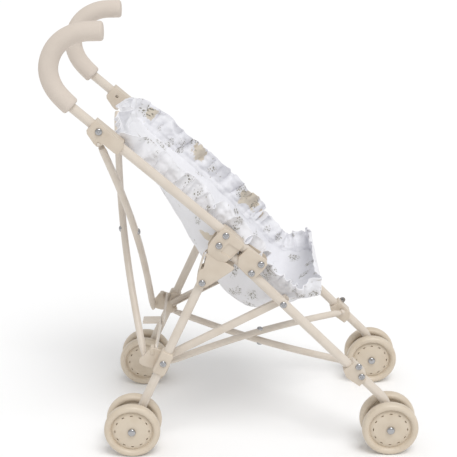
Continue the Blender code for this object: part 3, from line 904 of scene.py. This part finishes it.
@dataclass
class Brackets:
    """The moulded brackets that join the tubes."""

    finishes: Finishes
    rounding: float = 1.1
    cheek: float = 9.6
    room: float = 6.9
    plain: tuple[tuple[str, str], ...] = (
        ("top_bracket", "push_handle"), ("front_bracket", "front_leg"))
    hinge_web: tuple[Point, ...] = ((99.3, 273.1), (104.5, 274.5), (133.5, 254), (131, 250.5),
                                    (111.3, 237.2), (98, 229), (91, 227.5), (86, 233),
                                    (87.5, 243), (91, 256), (94.5, 267))
    hinge_clamp: tuple[Point, ...] = ((107.1, 291.3), (113, 298), (121.5, 305.5), (127, 302),
                                      (134.4, 295.3), (146, 284), (139.5, 276.5), (130, 267.5),
                                      (123, 262), (113, 264), (101, 273), (101, 281))
    hinge_room: tuple[Point, ...] = ((100.5, 298), (108.1, 301.6), (161.8, 246.5), (161.8, 190),
                                     (70, 190), (70, 250), (90, 250), (92.5, 256), (97.5, 272),
                                     (100.5, 281))
    window: tuple[Point, ...] = ((126.5, 287), (139.5, 277.5), (128, 267.5), (116.5, 275.5))
    slit: tuple[Point, ...] = ((99.6, 270.5), (96.6, 269.5), (91.6, 252.5), (95.4, 254.4))
    diamond: tuple[Point, ...] = ((138.5, 268.5), (149.4, 279.1), (154, 277.8), (171.6, 264.9),
                                  (173.8, 258.4), (168.5, 250.4), (158.3, 240.2),
                                  (152.8, 239.6), (147, 245.2), (137, 257))
    sleeve: tuple[Point, ...] = ((-17, -6), (-15, -8.2), (13, -8.2), (15, -6), (15, 6), (13, 8.2),
                                 (-15, 8.2), (-17, 6))
    ear: tuple[Point, ...] = ((10, 5), (9.5, 14), (8.5, 20.5), (3, 22.5), (-4, 24), (-9, 27),
                              (-13, 28.5), (-18, 26.5), (-19.5, 21), (-18, 10), (-16, 5))
    sleeve_half: float = 8.2
    ear_inner: float = 4.8
    arm_block: tuple[Point, ...] = ((-8.7, -4.5), (-3.7, -4.5), (-3.7, 4.5), (-8.7, 4.5))
    arm_widths: tuple[float, float] = (85.3, 98.3)
    pin_face: tuple[Point, ...] = ((2.6, -0.2), (3.0, 0.3), (3.0, 6.8))
    pin_width: float = 88.3

    def build(self) -> None:
        """Make every bracket of both sides."""
        for side in Side:
            for node, body in self.plain:
                piece = softened(f"{node}_{side.tag}", f"moulded_{node}_{side.tag}", self.rounding)
                self.paint(side, piece, node, body)
            self.side_hinge(side)
            self.fold_plate(side)
            self.rear_bracket(side)

    def paint(self, side: Side, piece: bpy.types.Object, node: str, body: str) -> None:
        """Shade and dress one bracket."""
        smooth(piece, 40)
        dress(piece, self.finishes.bracket, "bracket_plastic", f"{side.tag}_{body}",
              f"{node}_{side.tag}")

    def slab(self, name: str, outline: Sequence[Point], side: Side,
             reach: Optional[float] = None) -> bpy.types.Object:
        """Plate that reaches equally to both sides of one tube."""
        y, half = side.value * PLANE.track, reach or self.cheek
        return plate(name, outline, y - half, y + half)

    def side_hinge(self, side: Side) -> None:
        """Make the latch bracket: a clamp with a sunk window over a slotted web."""
        piece = rounded(self.slab(f"moulded_side_hinge_{side.tag}", self.hinge_web, side),
                        self.rounding)
        clamp = rounded(self.slab("clamp", self.hinge_clamp, side, self.cheek + 0.5),
                        self.rounding)
        y = side.value * PLANE.track
        for face in (-1, 1):
            depth = sorted((y + face * (self.cheek - 0.9), y + face * (self.cheek + 3)))
            cut_away(clamp, rounded(plate("window", self.window, *depth), 0.6))
        cut_away(piece, self.slab("slit", self.slit, side, 14))
        for part in (piece, clamp):
            cut_away(part, self.slab("room", self.hinge_room, side, self.room))
        merge(piece, clamp)
        self.paint(side, piece, "side_hinge_bracket", "push_handle")

    def fold_plate(self, side: Side) -> None:
        """Make the diamond plate that carries the fold pivot."""
        piece = rounded(self.slab(f"moulded_fold_plate_{side.tag}", self.diamond, side),
                        self.rounding)
        across = PLANE.unit(PLANE.plate_screw, PLANE.fold_pivot)
        room = [self.local(PLANE.plate_screw, across, a, c)
                for a, c in ((8, -60), (8, 60), (60, 60), (60, -60))]
        cut_away(piece, self.slab("room", room, side, self.room))
        self.paint(side, piece, "fold_plate", "front_leg")

    @staticmethod
    def local(origin: Point, along: Point, a: float, c: float) -> Point:
        """Point at a along and c across a direction from origin."""
        return (origin[0] + along[0] * a - along[1] * c, origin[1] + along[1] * a + along[0] * c)

    def rear_bracket(self, side: Side) -> None:
        """Make the rear sleeve with its ear, its pins and the arm of the crossbar."""
        y = side.value * PLANE.track
        up = PLANE.unit(PLANE.rear_axle, PLANE.leg_pivot)
        outline = [self.local(PLANE.rear_sleeve, up, a, c) for a, c in self.sleeve]
        piece = rounded(self.slab(f"moulded_rear_bracket_{side.tag}", outline, side,
                                  self.sleeve_half), 1.6)
        outline = [self.local(PLANE.rear_sleeve, up, a, c) for a, c in self.ear]
        inner = sorted((y - side.value * self.sleeve_half, y - side.value * self.ear_inner))
        ear = rounded(plate("ear", outline, *inner), 0.8)
        link = PLANE.link_pivot
        block = [(link[0] + dx, link[1] + dz) for dx, dz in self.arm_block]
        faces = sorted(side.value * width for width in self.arm_widths)
        arm = rounded(plate("arm", block, *faces), 0.8)
        pins = []
        for point in (PLANE.rear_cross_end, PLANE.lower_cross_end):
            pin = turned("pin", self.pin_face, 24)
            lay_on_side(pin, PLANE.at(point, side.value * self.pin_width), side.value)
            pins.append(pin)
        merge(piece, ear, arm, *pins)
        self.paint(side, piece, "rear_bracket", "rear_leg")


@dataclass
class Fasteners:
    """Domed screws with a cross recess, and the axles with their caps."""

    finishes: Finishes
    head: tuple[Point, ...] = ((1.8, -6.0), (1.85, -0.2), (4.2, 0.0), (4.35, 0.5), (4.05, 1.3),
                               (3.3, 1.95), (2.2, 2.35), (0.9, 2.5))
    blade_size: tuple[float, float, float] = (0.8, 4.0, 2.0)
    blade_height: float = 2.6
    wheel_half: float = 7.0
    cap_gap: float = 0.2
    places: tuple[tuple[str, str, Point, float], ...] = (
        ("top_bracket_screw", "push_handle", PLANE.handle_screw, 110.8),
        ("side_hinge_screw", "push_handle", PLANE.hinge_screw, 111.8),
        ("leg_pivot_screw", "push_handle", PLANE.leg_pivot, 111.8),
        ("fold_pivot_screw", "front_leg", PLANE.fold_pivot, 111.8),
        ("plate_screw", "front_leg", PLANE.plate_screw, 111.8),
        ("strut_screw", "front_leg", PLANE.strut_pivot, 108.2),
        ("rear_bracket_screw", "rear_leg", PLANE.rear_sleeve, 110.4))
    extras: tuple[tuple[str, str, Point, float], ...] = (
        ("latch_screw", "push_handle", (114.9, 283.6), 112.2),
        ("front_ear_screw", "front_leg", (288.6, 119.4), 110.4),
        ("front_sleeve_screw", "front_leg", (292.5, 105.5), 110.4))

    def build(self) -> None:
        """Make every screw and axle cap."""
        master = self.master_screw()
        for side in Side:
            for node, body, point, face in self.places:
                self.screw(master, side, node, body, point, face, f"{node}_{side.tag}")
            for name, body, point, face in self.extras:
                self.screw(master, side, name, body, point, face)
        discard(master)
        for side in Side:
            for end, point, body in (("front", PLANE.front_axle, "front_leg"),
                                     ("rear", PLANE.rear_axle, "rear_leg")):
                self.axle(side, end, point, f"{side.tag}_{body}")

    def screw(self, master: bpy.types.Object, side: Side, name: str, body: str, point: Point,
              face: float, *nodes: str) -> None:
        """Put a copy of the screw in place.

        Args:
            master: Screw at the origin, its head up.
            side: Side of the stroller.
            name: Middle of the piece's name.
            body: End of the body's name.
            point: Side-plane place.
            face: Half width of the face that it sits on.
            nodes: CAD nodes that it stands for.
        """
        piece = copy_of(master, f"domed_{name}_{side.tag}")
        lay_on_side(piece, PLANE.at(point, side.value * face), side.value)
        smooth(piece, 40)
        dress(piece, self.finishes.plating, "screw_chrome", f"{side.tag}_{body}", *nodes)

    def master_screw(self) -> bpy.types.Object:
        """Turn one screw and press a cross into its head."""
        screw = turned("master_screw", self.head, 32)
        for turn in (0, math.pi / 2):
            clear_selection()
            bpy.ops.mesh.primitive_cube_add(size=1, location=(0, 0, self.blade_height * MM),
                                            rotation=(0, 0, turn))
            blade = bpy.context.object
            blade.scale = [size * MM for size in self.blade_size]
            settle(blade)
            cut_away(screw, blade)
        return screw

    def axle(self, side: Side, end: str, point: Point, body: str) -> None:
        """Turn one axle with a domed cap on both ends."""
        reach = PLANE.wheel_step + self.wheel_half + self.cap_gap
        half = [(5.0, reach - 0.6), (5.2, reach), (4.9, reach + 0.9), (4.2, reach + 1.6),
                (2.6, reach + 2.1), (1.0, reach + 2.2)]
        profile = [(r, -h) for r, h in reversed(half)] + [(2.5, -reach + 0.5), (2.5, reach - 0.5)]
        piece = turned(f"capped_{end}_axle_{side.tag}", profile + half, 32)
        lay_on_side(piece, PLANE.at(point, side.value * PLANE.track), side.value)
        smooth(piece, 40)
        dress(piece, self.finishes.plating, "screw_chrome", body, f"{end}_axle_{side.tag}")


@dataclass
class Wheels:
    """Eight moulded wheels: a fat rounded ring, a step and a domed disc with slots."""

    finishes: Finishes
    face: tuple[Point, ...] = ((3.0, 5.6), (12.0, 5.2), (20.0, 4.4), (24.6, 3.4), (25.8, 2.2),
                               (26.6, 2.0), (27.2, 3.4), (28.0, 5.4), (29.6, 6.7), (31.4, 7.0),
                               (33.2, 6.6), (34.8, 5.3), (35.7, 3.4), (36.0, 1.2))
    slots: int = 12
    slot_r: float = 21.8
    slot_width: float = 1.3
    slot_stretch: tuple[float, float, float] = (0.66, 1.6, 1.0)
    cutter_depth: float = 5.2
    cutter_height: float = 4.4

    def build(self) -> None:
        """Model one wheel and copy it to the eight places."""
        master = self.master_wheel()
        for side in Side:
            for end, point in (("front", PLANE.front_axle), ("rear", PLANE.rear_axle)):
                for place, sign in (("outer", 1), ("inner", -1)):
                    node = f"{end}_wheel_{place}_{side.tag}"
                    piece = copy_of(master, f"moulded_{node}")
                    y = side.value * (PLANE.track + sign * PLANE.wheel_step)
                    lay_on_side(piece, PLANE.at(point, y), side.value * sign)
                    smooth(piece, 38)
                    dress(piece, self.finishes.wheel, "wheel_plastic",
                          f"{side.tag}_{end}_{place}_wheel", node)
        discard(master)

    def master_wheel(self) -> bpy.types.Object:
        """Turn the wheel and cut its slots and the ring round its hub."""
        back = [(r, -h) for r, h in self.face]
        wheel = turned("master_wheel", back + list(reversed(self.face)), 96)
        cutters = []
        for index in range(self.slots):
            angle = math.tau * index / self.slots
            spot = Vector((math.cos(angle), math.sin(angle), 0)) * self.slot_r * MM
            for face in (-1, 1):
                clear_selection()
                bpy.ops.mesh.primitive_cylinder_add(
                    vertices=16, radius=self.slot_width * MM, depth=self.cutter_depth * MM,
                    location=spot + Vector((0, 0, face * self.cutter_height * MM)),
                    rotation=(0, 0, angle))
                cutter = bpy.context.object
                cutter.scale = self.slot_stretch
                settle(cutter)
                cutters.append(cutter)
        merge(*cutters)
        cut_away(wheel, cutters[0])
        return wheel


# --------------------------------------------------------------------------- seat


@dataclass
class Sling:
    """The cotton sling, its gathered frills and its seams.

    The sling's shape is set by a line along its edge and a line along its middle, as
    (forward of the rear axle, height) in millimetres from the top of the back to the front.
    """

    finishes: Finishes
    edge: tuple[Point, ...] = ((6, 392), (44, 358), (84, 322), (116, 291), (142, 262), (168, 234),
                               (190, 212), (212, 204), (240, 207))
    middle: tuple[Point, ...] = ((-2, 404), (36, 340), (68, 280), (96, 226), (122, 184),
                                 (150, 166), (186, 168), (218, 184), (246, 203))
    half_width: float = 85.0
    fold: float = 0.56
    cloth: float = 0.9
    panel_grid: tuple[int, int] = (56, 48)
    frill_step: float = 1.3
    frill_rows: int = 18

    def line(self, points: Sequence[Point], u: float) -> Vector:
        """Smooth place at u from 0 to 1 along a list of side-plane points."""
        rows = len(points) - 1
        index = min(int(u * rows), rows - 1)
        near = [Vector(points[max(0, min(rows, index + k))]) for k in (-1, 0, 1, 2)]
        return between(*near, u * rows - index)

    def surface(self, u: float, v: float) -> Vector:
        """Place of the plain sling at u along it and v from -1 to 1 across it."""
        blend = 1 - abs(v) ** 2.6
        spot = self.line(self.edge, u) * (1 - blend) + self.line(self.middle, u) * blend
        return PLANE.at((spot.x, spot.y), v * self.half_width)

    def normal(self, u: float, v: float) -> Vector:
        """Direction that leaves the sling on the doll's side."""
        du = self.surface(min(u + 0.01, 1), v) - self.surface(max(u - 0.01, 0), v)
        dv = self.surface(u, min(v + 0.02, 1)) - self.surface(u, max(v - 0.02, -1))
        return du.cross(dv).normalized()

    def wrinkles(self, u: float, v: float) -> float:
        """Height of the cloth's folds in metres: long pulls from the sides and soft crumples."""
        spot = Vector((u * 5.0, v * 2.2, 0.3))
        soft = (noise.noise(spot) * 2.4 + noise.noise(spot * 2.3) * 1.8
                + abs(noise.noise(spot * 4.1)) * 1.6)
        pull = math.sin(u * 46 + 5 * noise.noise(spot * 0.8)) * 0.8 * abs(v) ** 3
        return (soft * (1 - abs(v) ** 6) + pull) * MM

    def build(self) -> None:
        """Make the sling's pieces."""
        self.panel("cotton_seat_back", 0.0, self.fold + 0.004, "seat_upper", "seat_back_panel")
        self.panel("cotton_seat_pouch", self.fold - 0.004, 1.0, "seat_lower", "seat_pouch")
        self.frills()

    def lay_map(self, obj: bpy.types.Object, width: float, length: float, shift: Point) -> None:
        """Scale a piece's own map to metres, moved by shift."""
        for loop in obj.data.uv_layers[0].data:
            loop.uv = (loop.uv[0] * width + shift[0], loop.uv[1] * length + shift[1])

    def grid(self, name: str, columns: int, rows: int) -> bpy.types.Object:
        """Add a flat grid that runs from -1 to 1 both ways."""
        clear_selection()
        bpy.ops.mesh.primitive_grid_add(x_subdivisions=columns, y_subdivisions=rows, size=2)
        obj = bpy.context.object
        obj.name = name
        return obj

    @staticmethod
    def cut_size(obj: bpy.types.Object, columns: int, rows: int) -> Point:
        """Measure the cloth that a shaped grid takes.

        Args:
            obj: Shaped grid.
            columns: Its faces across.
            rows: Its faces along.

        Returns:
            The longest row's length and the mean column's length, in metres.
        """
        spots = [vert.co for vert in obj.data.vertices]
        wide = columns + 1
        across = [sum((spots[r * wide + c + 1] - spots[r * wide + c]).length
                      for c in range(columns)) for r in range(rows + 1)]
        along = [sum((spots[(r + 1) * wide + c] - spots[r * wide + c]).length
                     for r in range(rows)) for c in range(wide)]
        return (max(across), sum(along) / len(along))

    def close_cloth(self, obj: bpy.types.Object, body: str,
                    node: str) -> None:
        """Args:
            obj: Open cloth mesh.
            body: CAD body that it rides on.
            node: CAD node that it stands for.
        """
        finish_with(obj, "SUBSURF", levels=1, render_levels=1)
        finish_with(obj, "SOLIDIFY", thickness=self.cloth * MM, offset=0.0)
        smooth(obj, 70)
        dress(obj, self.finishes.cotton, "seat_cloth", body, node)
        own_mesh(obj)

    def panel(self, name: str, u0: float, u1: float, body: str, node: str) -> None:
        """Make one panel of the sling between two places along it."""
        columns, rows = self.panel_grid
        obj = self.grid(name, columns, rows)
        for vert in obj.data.vertices:
            u = u0 + (u1 - u0) * (vert.co.y + 1) / 2
            v = vert.co.x
            vert.co = self.surface(u, v) + self.normal(u, v) * self.wrinkles(u, v)
        width, length = self.cut_size(obj, columns, rows)
        self.lay_map(obj, width, length, (0.0, u0))
        self.close_cloth(obj, body,
                         node)

    @staticmethod
    def seam_path(start: float, end: float, steps: int) -> list[Point]:
        """(u, v) places up one side of the sling, across its end and down the other side."""
        side = [(start + (end - start) * i / steps, -1.0) for i in range(steps)]
        across = [(end, -1.0 + 2.0 * i / 20) for i in range(21)]
        return side + across + [(u, -v) for u, v in reversed(side)]

    def frills(self) -> None:
        """Make the frill round the back and the one round the front."""
        self.frill("cotton_back_frill", self.seam_path(self.fold + 0.012, 0.0, 30), "seat_upper",
                   "back_ruffle", self.back_height, 11)
        self.frill("cotton_front_frill", self.seam_path(self.fold - 0.02, 1.0, 22), "seat_lower",
                   "front_ruffle", self.front_height, 23)

    def back_height(self, u: float, v: float) -> float:
        """Height of the back frill in millimetres."""
        return 32 + 3.5 * noise.noise(Vector((u * 17, v * 2, 4.2)))

    def front_height(self, u: float, v: float) -> float:
        """Height of the front frill in millimetres, tallest across the front edge."""
        lift = max(0.0, (u - 0.80) / 0.20)
        across = 1 - abs(v) ** 4
        return 27 + 3 * noise.noise(Vector((u * 15, v * 2, 1.2))) + lift * (3 + 22 * across)

    @staticmethod
    def fullness(u: float) -> float:
        """Share of the folds' height, low along the flat front edge."""
        return 1.0 if u < 0.9 else 1.0 - 0.72 * min((u - 0.9) / 0.1, 1.0)

    def frill(self, name: str, path: Sequence[Point], body: str, node: str,
              height: Callable[[float, float], float], seed: int) -> None:
        """Gather a strip along the sling's edge.

        Args:
            name: Name of the piece.
            path: (u, v) places along the seam.
            body: CAD body that it rides on.
            node: CAD node that it stands for.
            height: Height in millimetres at a place.
            seed: Start of the folds' random draws.
        """
        rng = random.Random(seed)
        seam = [self.surface(u, v) for u, v in path]
        lengths = [0.0]
        for one, two in zip(seam, seam[1:]):
            lengths.append(lengths[-1] + (two - one).length)
        total = lengths[-1]
        columns, rows = int(total / (self.frill_step * MM)), self.frill_rows
        obj = self.grid(name, columns, rows)
        folds = self.fold_places(total, rng)
        for vert in obj.data.vertices:
            along = (vert.co.x + 1) / 2 * total
            rise = (vert.co.y + 1) / 2
            vert.co = self.frill_point(path, seam, lengths, along, rise, height, folds)
        width, tall = self.cut_size(obj, columns, rows)
        self.lay_map(obj, width, tall, (seed * 0.1, 0.4))
        self.close_cloth(obj, body, node)

    def fold_places(self, total: float, rng: random.Random) -> list[tuple[float, ...]]:
        """Draw the folds of a frill as (place, half width, height, slant, start) in metres."""
        folds, place, sign = [], 0.0, 1
        while place < total:
            half = rng.uniform(2.5, 6.4) * MM
            folds.append((place, half, sign * rng.uniform(0.85, 1.6) * half,
                          rng.uniform(-9, 9) * MM, rng.uniform(0.0, 0.35)))
            place += half * rng.uniform(1.0, 1.7)
            sign = -sign if rng.random() > 0.18 else sign
        return folds

    def frill_point(self, path: Sequence[Point], seam: Sequence[Vector],
                    lengths: Sequence[float], along: float, rise: float,
                    height: Callable[[float, float], float],
                    folds: Sequence[tuple[float, ...]]) -> Vector:
        """Place of the frill at a length along its seam and a share of its height."""
        index = 0
        while index < len(lengths) - 2 and lengths[index + 1] < along:
            index += 1
        t = (along - lengths[index]) / max(lengths[index + 1] - lengths[index], 1e-9)
        u = path[index][0] * (1 - t) + path[index + 1][0] * t
        v = path[index][1] * (1 - t) + path[index + 1][1] * t
        base = seam[index].lerp(seam[index + 1], t)
        tangent = (seam[min(index + 2, len(seam) - 1)] - seam[max(index - 1, 0)]).normalized()
        up, out = self.frill_lean(u, v, tangent)
        full = self.fullness(u)
        wave = slip = 0.0
        for place, half, tall, slant, start in folds:
            away = (along - place - slant * rise) / half
            if abs(away) < 3 and rise > start:
                ease = ((rise - start) / (1 - start)) ** 0.75
                bell = math.exp(-away * away) * tall * ease * full
                wave += bell
                slip += bell * away
        tall = height(u, v) * MM
        spot = Vector((along * 70, rise * 2.4, 1.7))
        crumple = (noise.noise(spot) * 3.4 + noise.noise(spot * 2.6) * 2.2
                   + noise.noise(spot * 5.2) * 0.9) * MM * (rise ** 0.5) * (0.3 + 0.6 * full)
        stitch = 1.1 * MM * math.exp(-((rise - 0.2) / 0.05) ** 2)
        curl = (0.18 if u < 0.9 else -0.02) * rise * rise * tall
        droop = abs(wave) * 0.35 * rise
        return (base + up * (tall * rise - droop) + out * (wave + curl + crumple - stitch)
                + tangent * slip * 0.75)

    def frill_lean(self, u: float, v: float, tangent: Vector) -> tuple[Vector, Vector]:
        """Directions in which the frill stands up and waves at a place.

        Returns:
            Unit directions up the frill and out of its face.
        """
        inward = Vector((0, -v, 0)) if abs(v) > 0.98 else Vector((0, 0, 0))
        lift = Vector((0.42, 0, 0.86)) - inward * 0.30
        if u < 0.02:
            lift = Vector((-0.30, v * 0.22, 0.92))
        if u > 0.98:
            lift = Vector((-0.24, v * 0.06, 0.97))
        lift = lift - tangent * lift.dot(tangent)
        up = lift.normalized()
        out = tangent.cross(up).normalized()
        return up, out


# --------------------------------------------------------------------------- studio


@dataclass
class Studio:
    """Pale floor, one soft light, even air and the camera."""

    lens: float = 84.46
    eye: tuple[float, float, float] = (0.00265, -1.3360, 0.7175)
    yaw: float = -0.620
    pitch: float = 18.599
    roll: float = -0.743
    floor_colour: Colour = (0.96, 0.96, 0.96)
    air_strength: float = 0.68
    lamp_place: tuple[float, float, float] = (0.4, -0.8, 1.6)
    lamp_spread: float = 32.0
    lamp_power: float = 1.45

    def build(self) -> None:
        """Make the floor, the light and the camera."""
        self.floor()
        self.world()
        self.lamp()
        self.camera()

    def floor(self) -> None:
        """Add a wide floor with a plain finish."""
        clear_selection()
        bpy.ops.mesh.primitive_plane_add(size=14)
        floor = bpy.context.object
        floor.name = "studio_floor"
        g = Graph("studio_white")
        g.feed("Base Color", (*self.floor_colour, 1.0))
        g.feed("Roughness", 0.8)
        floor.data.materials.append(g.material)

    def world(self) -> None:
        """Fill the room with even white light."""
        world = bpy.data.worlds.new("studio_air")
        world.use_nodes = True
        air = world.node_tree.nodes["Background"]
        air.inputs["Color"].default_value = (1.0, 1.0, 1.0, 1.0)
        air.inputs["Strength"].default_value = self.air_strength
        bpy.context.scene.world = world
        bpy.context.scene.view_settings.view_transform = "Standard"

    def lamp(self) -> None:
        """Add one wide soft light that lights the whole stroller evenly."""
        clear_selection()
        bpy.ops.object.light_add(type="SUN", location=self.lamp_place)
        lamp = bpy.context.object
        lamp.name = "overhead_softbox"
        lamp.data.angle = math.radians(self.lamp_spread)
        lamp.data.energy = self.lamp_power
        aim = Vector((0, 0, 0)) - lamp.location
        lamp.rotation_euler = aim.to_track_quat("-Z", "Y").to_euler()

    def camera(self) -> None:
        """Add the camera, turned by its yaw, pitch and roll."""
        clear_selection()
        bpy.ops.object.camera_add()
        camera = bpy.context.object
        yaw, pitch, roll = (math.radians(a) for a in (self.yaw, self.pitch, self.roll))
        ahead = Vector((math.sin(yaw) * math.cos(pitch), math.cos(yaw) * math.cos(pitch),
                        -math.sin(pitch)))
        right = Vector((math.cos(yaw), -math.sin(yaw), 0))
        up = right.cross(ahead)
        r = right * math.cos(roll) + up * math.sin(roll)
        u = -right * math.sin(roll) + up * math.cos(roll)
        turn = Matrix((r, u, -ahead)).transposed().to_4x4()
        camera.matrix_world = Matrix.Translation(Vector(self.eye)) @ turn
        camera.data.lens = self.lens
        camera.data.sensor_width = 36.0
        bpy.context.scene.camera = camera


def main() -> None:
    """Build the looks of the whole stroller."""
    logging.basicConfig(level=logging.INFO, format="%(name)s: %(message)s")
    finishes = Finishes()
    Studio().build()
    for maker in (FrameTubes, CrossBars, Brackets, Fasteners, Wheels, Sling):
        maker(finishes).build()


if __name__ == "__main__":
    main()
